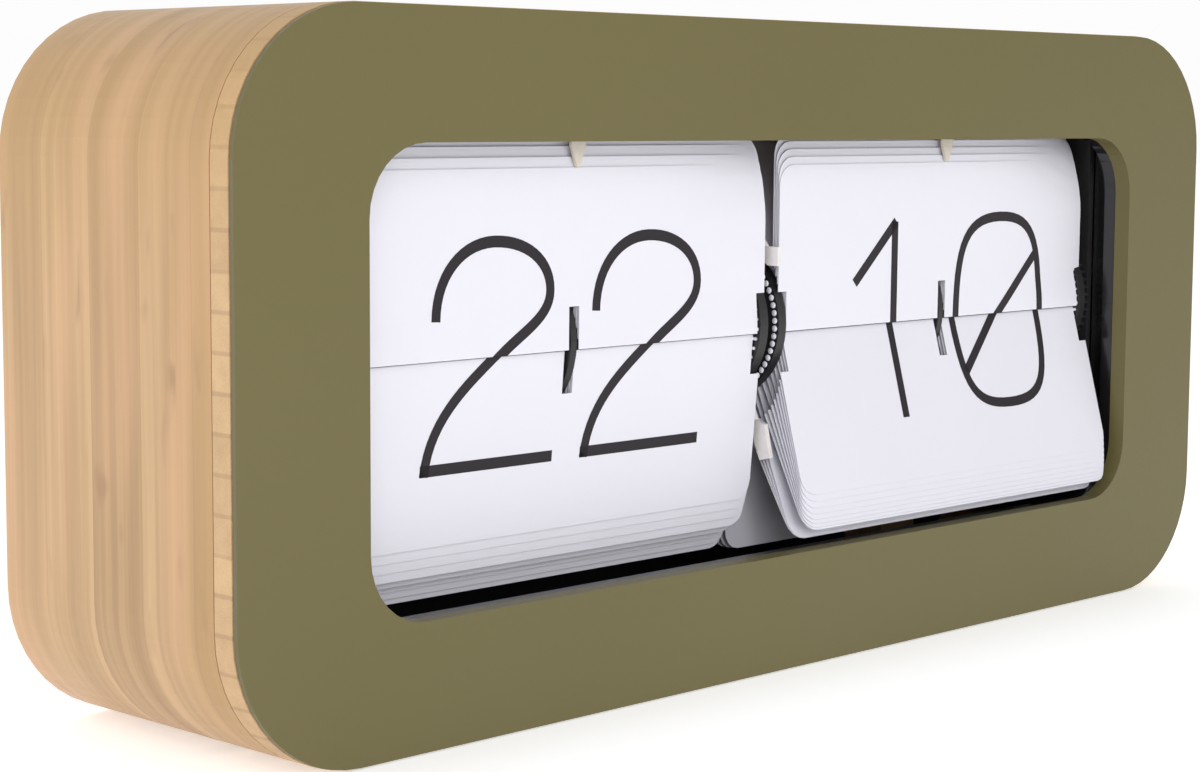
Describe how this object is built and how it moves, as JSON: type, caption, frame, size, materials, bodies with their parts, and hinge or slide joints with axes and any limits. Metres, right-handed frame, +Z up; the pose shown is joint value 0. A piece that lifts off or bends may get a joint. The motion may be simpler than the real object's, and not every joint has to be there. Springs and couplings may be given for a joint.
{
  "type": "flip number clock",
  "caption": "Wide wooden-cased flip clock: two leaf drums behind a rounded window show hours and minutes on split white leaves, battery driven.",
  "frame": {"origin": "centre of the flat underside of the case", "axes": "+X to the right as the display is read, -Y out of the display, +Z up"},
  "size_m": [0.36, 0.084, 0.1624],
  "materials": {
    "bamboo": "satin-sealed strip bamboo",
    "bamboo_end": "satin-sealed bamboo end grain",
    "olive_lacquer": "satin olive lacquer",
    "black_gloss": "glossy black",
    "black_plastic": "fine matt black",
    "leaf_white": "satin white sheet with printed numerals",
    "ivory_plastic": "satin ivory",
    "white_plastic": "satin off-white",
    "steel": "drawn steel",
    "gear_plastic": "natural acetal",
    "battery_sleeve": "plain printed sleeve",
    "circuit_green": "solder mask"
  },
  "bodies": {
    "case": {"case_shell": "bamboo", "front_board": "bamboo_end", "front_fascia": "olive_lacquer", "inner_liner": "black_gloss", "back_panel": "black_plastic", "back_panel_screw_1": "steel", "back_panel_screw_2": "steel", "back_panel_screw_3": "steel", "back_panel_screw_4": "steel", "left_bearing_plate": "black_plastic", "right_bearing_plate": "black_plastic", "drum_axle": "steel", "base_rail": "black_plastic", "top_rail": "black_plastic", "centre_bracket": "black_plastic", "gear_motor": "steel", "circuit_board": "circuit_green", "battery_cradle": "black_plastic", "battery_cell": "battery_sleeve", "positive_contact": "steel", "negative_contact_spring": "steel"},
    "battery_door": {"battery_door": "black_plastic"},
    "hour_drum": {"hour_hub": "black_plastic", "hour_disc_left": "black_plastic", "hour_disc_centre": "black_plastic", "hour_disc_right": "black_plastic"},
    "minute_drum": {"minute_hub": "black_plastic", "minute_disc_left": "black_plastic", "minute_disc_centre": "black_plastic", "minute_disc_right": "black_plastic", "minute_drive_gear": "black_plastic"},
    "idler_gear": {"idler_gear": "gear_plastic"},
    "motor_pinion": {"motor_pinion": "steel"},
    "setting_thumbwheel": {"setting_thumbwheel": "black_plastic"},
    "hour_retaining_finger": {"hour_retaining_finger": "ivory_plastic"},
    "minute_retaining_finger": {"minute_retaining_finger": "ivory_plastic"},
    "hour_carry_lever": {"hour_carry_lever": "white_plastic"},
    "hour_leaf_top_1": {"hour_leaf_top_1": "leaf_white"},
    "hour_leaf_top_2": {"hour_leaf_top_2": "leaf_white"},
    "hour_leaf_top_3": {"hour_leaf_top_3": "leaf_white"},
    "hour_leaf_top_4": {"hour_leaf_top_4": "leaf_white"},
    "hour_leaf_low_1": {"hour_leaf_low_1": "leaf_white"},
    "hour_leaf_low_2": {"hour_leaf_low_2": "leaf_white"},
    "hour_leaf_low_3": {"hour_leaf_low_3": "leaf_white"},
    "hour_leaf_low_4": {"hour_leaf_low_4": "leaf_white"},
    "hour_leaf_low_5": {"hour_leaf_low_5": "leaf_white"},
    "hour_leaf_low_6": {"hour_leaf_low_6": "leaf_white"},
    "minute_leaf_top_1": {"minute_leaf_top_1": "leaf_white"},
    "minute_leaf_top_2": {"minute_leaf_top_2": "leaf_white"},
    "minute_leaf_top_3": {"minute_leaf_top_3": "leaf_white"},
    "minute_leaf_top_4": {"minute_leaf_top_4": "leaf_white"},
    "minute_leaf_top_5": {"minute_leaf_top_5": "leaf_white"},
    "minute_leaf_low_1": {"minute_leaf_low_1": "leaf_white"},
    "minute_leaf_low_2": {"minute_leaf_low_2": "leaf_white"},
    "minute_leaf_low_3": {"minute_leaf_low_3": "leaf_white"},
    "minute_leaf_low_4": {"minute_leaf_low_4": "leaf_white"},
    "minute_leaf_low_5": {"minute_leaf_low_5": "leaf_white"},
    "minute_leaf_low_6": {"minute_leaf_low_6": "leaf_white"},
    "minute_leaf_low_7": {"minute_leaf_low_7": "leaf_white"},
    "minute_leaf_low_8": {"minute_leaf_low_8": "leaf_white"}
  },
  "joints": [
    {"name": "hour_drum_turn", "type": "hinge", "parent": "case", "child": "hour_drum", "pos_m": [-0.0711, -0.01, 0.0862], "axis": [1, 0, 0], "range_deg": [0, 7.5]},
    {"name": "minute_drum_turn", "type": "hinge", "parent": "case", "child": "minute_drum", "pos_m": [0.0711, -0.01, 0.0862], "axis": [1, 0, 0], "range_deg": [0, 6]},
    {"name": "battery_door_slide", "type": "slide", "parent": "case", "child": "battery_door", "axis": [0, 0, 1], "range_m": [0, 0.008]},
    {"name": "idler_gear_turn", "type": "hinge", "parent": "case", "child": "idler_gear", "pos_m": [0.1406, 0.01364, 0.09985], "axis": [1, 0, 0], "range_deg": [-13.5, 0]},
    {"name": "motor_pinion_turn", "type": "hinge", "parent": "case", "child": "motor_pinion", "pos_m": [0.1406, 0.00769, 0.11016], "axis": [1, 0, 0], "range_deg": [0, 32.4]},
    {"name": "setting_thumbwheel_turn", "type": "hinge", "parent": "case", "child": "setting_thumbwheel", "pos_m": [0.1406, 0.02985, 0.10426], "axis": [1, 0, 0], "range_deg": [0, 13.5]},
    {"name": "hour_finger_flex", "type": "hinge", "parent": "case", "child": "hour_retaining_finger", "pos_m": [-0.0711, -0.0306, 0.141], "axis": [-1, 0, 0], "range_deg": [0, 8], "stiffness_Nm_per_rad": 0.002},
    {"name": "minute_finger_flex", "type": "hinge", "parent": "case", "child": "minute_retaining_finger", "pos_m": [0.0711, -0.0306, 0.141], "axis": [-1, 0, 0], "range_deg": [0, 8], "stiffness_Nm_per_rad": 0.002},
    {"name": "carry_lever_rock", "type": "hinge", "parent": "case", "child": "hour_carry_lever", "pos_m": [0, 0.0164, 0.1027], "axis": [-1, 0, 0], "range_deg": [0, 3], "stiffness_Nm_per_rad": 0.05, "springref_deg": -11.46},
    {"name": "hour_leaf_flip", "type": "hinge", "parent": "hour_drum", "child": "hour_leaf_top_1", "pos_m": [-0.0711, -0.02898, 0.08534], "axis": [1, 0, 0], "range_deg": [0, 176]},
    {"name": "hour_leaf_top_2_swing", "type": "hinge", "parent": "hour_drum", "child": "hour_leaf_top_2", "pos_m": [-0.0711, -0.02893, 0.08782], "axis": [1, 0, 0], "range_deg": [-7.5, 0]},
    {"name": "hour_leaf_top_3_swing", "type": "hinge", "parent": "hour_drum", "child": "hour_leaf_top_3", "pos_m": [-0.0711, -0.02856, 0.09028], "axis": [1, 0, 0], "range_deg": [-7.5, 0]},
    {"name": "hour_leaf_top_4_swing", "type": "hinge", "parent": "hour_drum", "child": "hour_leaf_top_4", "pos_m": [-0.0711, -0.02787, 0.09267], "axis": [1, 0, 0], "range_deg": [-7.5, 0]},
    {"name": "hour_leaf_low_1_swing", "type": "hinge", "parent": "hour_drum", "child": "hour_leaf_low_1", "pos_m": [-0.0711, -0.02871, 0.08287], "axis": [1, 0, 0], "range_deg": [-7.5, 0]},
    {"name": "hour_leaf_low_2_swing", "type": "hinge", "parent": "hour_drum", "child": "hour_leaf_low_2", "pos_m": [-0.0711, -0.02811, 0.08045], "axis": [1, 0, 0], "range_deg": [-7.5, 0]},
    {"name": "hour_leaf_low_3_swing", "type": "hinge", "parent": "hour_drum", "child": "hour_leaf_low_3", "pos_m": [-0.0711, -0.02721, 0.07814], "axis": [1, 0, 0], "range_deg": [-7.5, 0]},
    {"name": "hour_leaf_low_4_swing", "type": "hinge", "parent": "hour_drum", "child": "hour_leaf_low_4", "pos_m": [-0.0711, -0.02601, 0.07596], "axis": [1, 0, 0], "range_deg": [-7.5, 0]},
    {"name": "hour_leaf_low_5_swing", "type": "hinge", "parent": "hour_drum", "child": "hour_leaf_low_5", "pos_m": [-0.0711, -0.02453, 0.07396], "axis": [1, 0, 0], "range_deg": [-7.5, 0]},
    {"name": "hour_leaf_low_6_swing", "type": "hinge", "parent": "hour_drum", "child": "hour_leaf_low_6", "pos_m": [-0.0711, -0.02281, 0.07217], "axis": [1, 0, 0], "range_deg": [-7.5, 0]},
    {"name": "minute_leaf_flip", "type": "hinge", "parent": "minute_drum", "child": "minute_leaf_top_1", "pos_m": [0.0711, -0.02897, 0.08511], "axis": [1, 0, 0], "range_deg": [0, 158.5]},
    {"name": "minute_leaf_top_2_swing", "type": "hinge", "parent": "minute_drum", "child": "minute_leaf_top_2", "pos_m": [0.0711, -0.02898, 0.0871], "axis": [1, 0, 0], "range_deg": [-6, 0]},
    {"name": "minute_leaf_top_3_swing", "type": "hinge", "parent": "minute_drum", "child": "minute_leaf_top_3", "pos_m": [0.0711, -0.02878, 0.08907], "axis": [1, 0, 0], "range_deg": [-6, 0]},
    {"name": "minute_leaf_top_4_swing", "type": "hinge", "parent": "minute_drum", "child": "minute_leaf_top_4", "pos_m": [0.0711, -0.02838, 0.09102], "axis": [1, 0, 0], "range_deg": [-6, 0]},
    {"name": "minute_leaf_top_5_swing", "type": "hinge", "parent": "minute_drum", "child": "minute_leaf_top_5", "pos_m": [0.0711, -0.02777, 0.09292], "axis": [1, 0, 0], "range_deg": [-6, 0]},
    {"name": "minute_leaf_low_1_swing", "type": "hinge", "parent": "minute_drum", "child": "minute_leaf_low_1", "pos_m": [0.0711, -0.02875, 0.08313], "axis": [1, 0, 0], "range_deg": [-6, 0]},
    {"name": "minute_leaf_low_2_swing", "type": "hinge", "parent": "minute_drum", "child": "minute_leaf_low_2", "pos_m": [0.0711, -0.02833, 0.08119], "axis": [1, 0, 0], "range_deg": [-6, 0]},
    {"name": "minute_leaf_low_3_swing", "type": "hinge", "parent": "minute_drum", "child": "minute_leaf_low_3", "pos_m": [0.0711, -0.0277, 0.0793], "axis": [1, 0, 0], "range_deg": [-6, 0]},
    {"name": "minute_leaf_low_4_swing", "type": "hinge", "parent": "minute_drum", "child": "minute_leaf_low_4", "pos_m": [0.0711, -0.02688, 0.07749], "axis": [1, 0, 0], "range_deg": [-6, 0]},
    {"name": "minute_leaf_low_5_swing", "type": "hinge", "parent": "minute_drum", "child": "minute_leaf_low_5", "pos_m": [0.0711, -0.02588, 0.07577], "axis": [1, 0, 0], "range_deg": [-6, 0]},
    {"name": "minute_leaf_low_6_swing", "type": "hinge", "parent": "minute_drum", "child": "minute_leaf_low_6", "pos_m": [0.0711, -0.0247, 0.07417], "axis": [1, 0, 0], "range_deg": [-6, 0]},
    {"name": "minute_leaf_low_7_swing", "type": "hinge", "parent": "minute_drum", "child": "minute_leaf_low_7", "pos_m": [0.0711, -0.02336, 0.07269], "axis": [1, 0, 0], "range_deg": [-6, 0]},
    {"name": "minute_leaf_low_8_swing", "type": "hinge", "parent": "minute_drum", "child": "minute_leaf_low_8", "pos_m": [0.0711, -0.02188, 0.07137], "axis": [1, 0, 0], "range_deg": [-6, 0]}
  ],
  "couplings": [
    {"joint": "idler_gear_turn", "follows": "minute_drum_turn", "ratio": -2.25},
    {"joint": "setting_thumbwheel_turn", "follows": "minute_drum_turn", "ratio": 2.25},
    {"joint": "motor_pinion_turn", "follows": "minute_drum_turn", "ratio": 5.4},
    {"joint": "hour_leaf_top_2_swing", "follows": "hour_drum_turn", "ratio": -1},
    {"joint": "hour_leaf_top_3_swing", "follows": "hour_drum_turn", "ratio": -1},
    {"joint": "hour_leaf_top_4_swing", "follows": "hour_drum_turn", "ratio": -1},
    {"joint": "hour_leaf_low_1_swing", "follows": "hour_drum_turn", "ratio": -1},
    {"joint": "hour_leaf_low_2_swing", "follows": "hour_drum_turn", "ratio": -1},
    {"joint": "hour_leaf_low_3_swing", "follows": "hour_drum_turn", "ratio": -1},
    {"joint": "hour_leaf_low_4_swing", "follows": "hour_drum_turn", "ratio": -1},
    {"joint": "hour_leaf_low_5_swing", "follows": "hour_drum_turn", "ratio": -1},
    {"joint": "hour_leaf_low_6_swing", "follows": "hour_drum_turn", "ratio": -1},
    {"joint": "minute_leaf_top_2_swing", "follows": "minute_drum_turn", "ratio": -1},
    {"joint": "minute_leaf_top_3_swing", "follows": "minute_drum_turn", "ratio": -1},
    {"joint": "minute_leaf_top_4_swing", "follows": "minute_drum_turn", "ratio": -1},
    {"joint": "minute_leaf_top_5_swing", "follows": "minute_drum_turn", "ratio": -1},
    {"joint": "minute_leaf_low_1_swing", "follows": "minute_drum_turn", "ratio": -1},
    {"joint": "minute_leaf_low_2_swing", "follows": "minute_drum_turn", "ratio": -1},
    {"joint": "minute_leaf_low_3_swing", "follows": "minute_drum_turn", "ratio": -1},
    {"joint": "minute_leaf_low_4_swing", "follows": "minute_drum_turn", "ratio": -1},
    {"joint": "minute_leaf_low_5_swing", "follows": "minute_drum_turn", "ratio": -1},
    {"joint": "minute_leaf_low_6_swing", "follows": "minute_drum_turn", "ratio": -1},
    {"joint": "minute_leaf_low_7_swing", "follows": "minute_drum_turn", "ratio": -1},
    {"joint": "minute_leaf_low_8_swing", "follows": "minute_drum_turn", "ratio": -1}
  ]
}
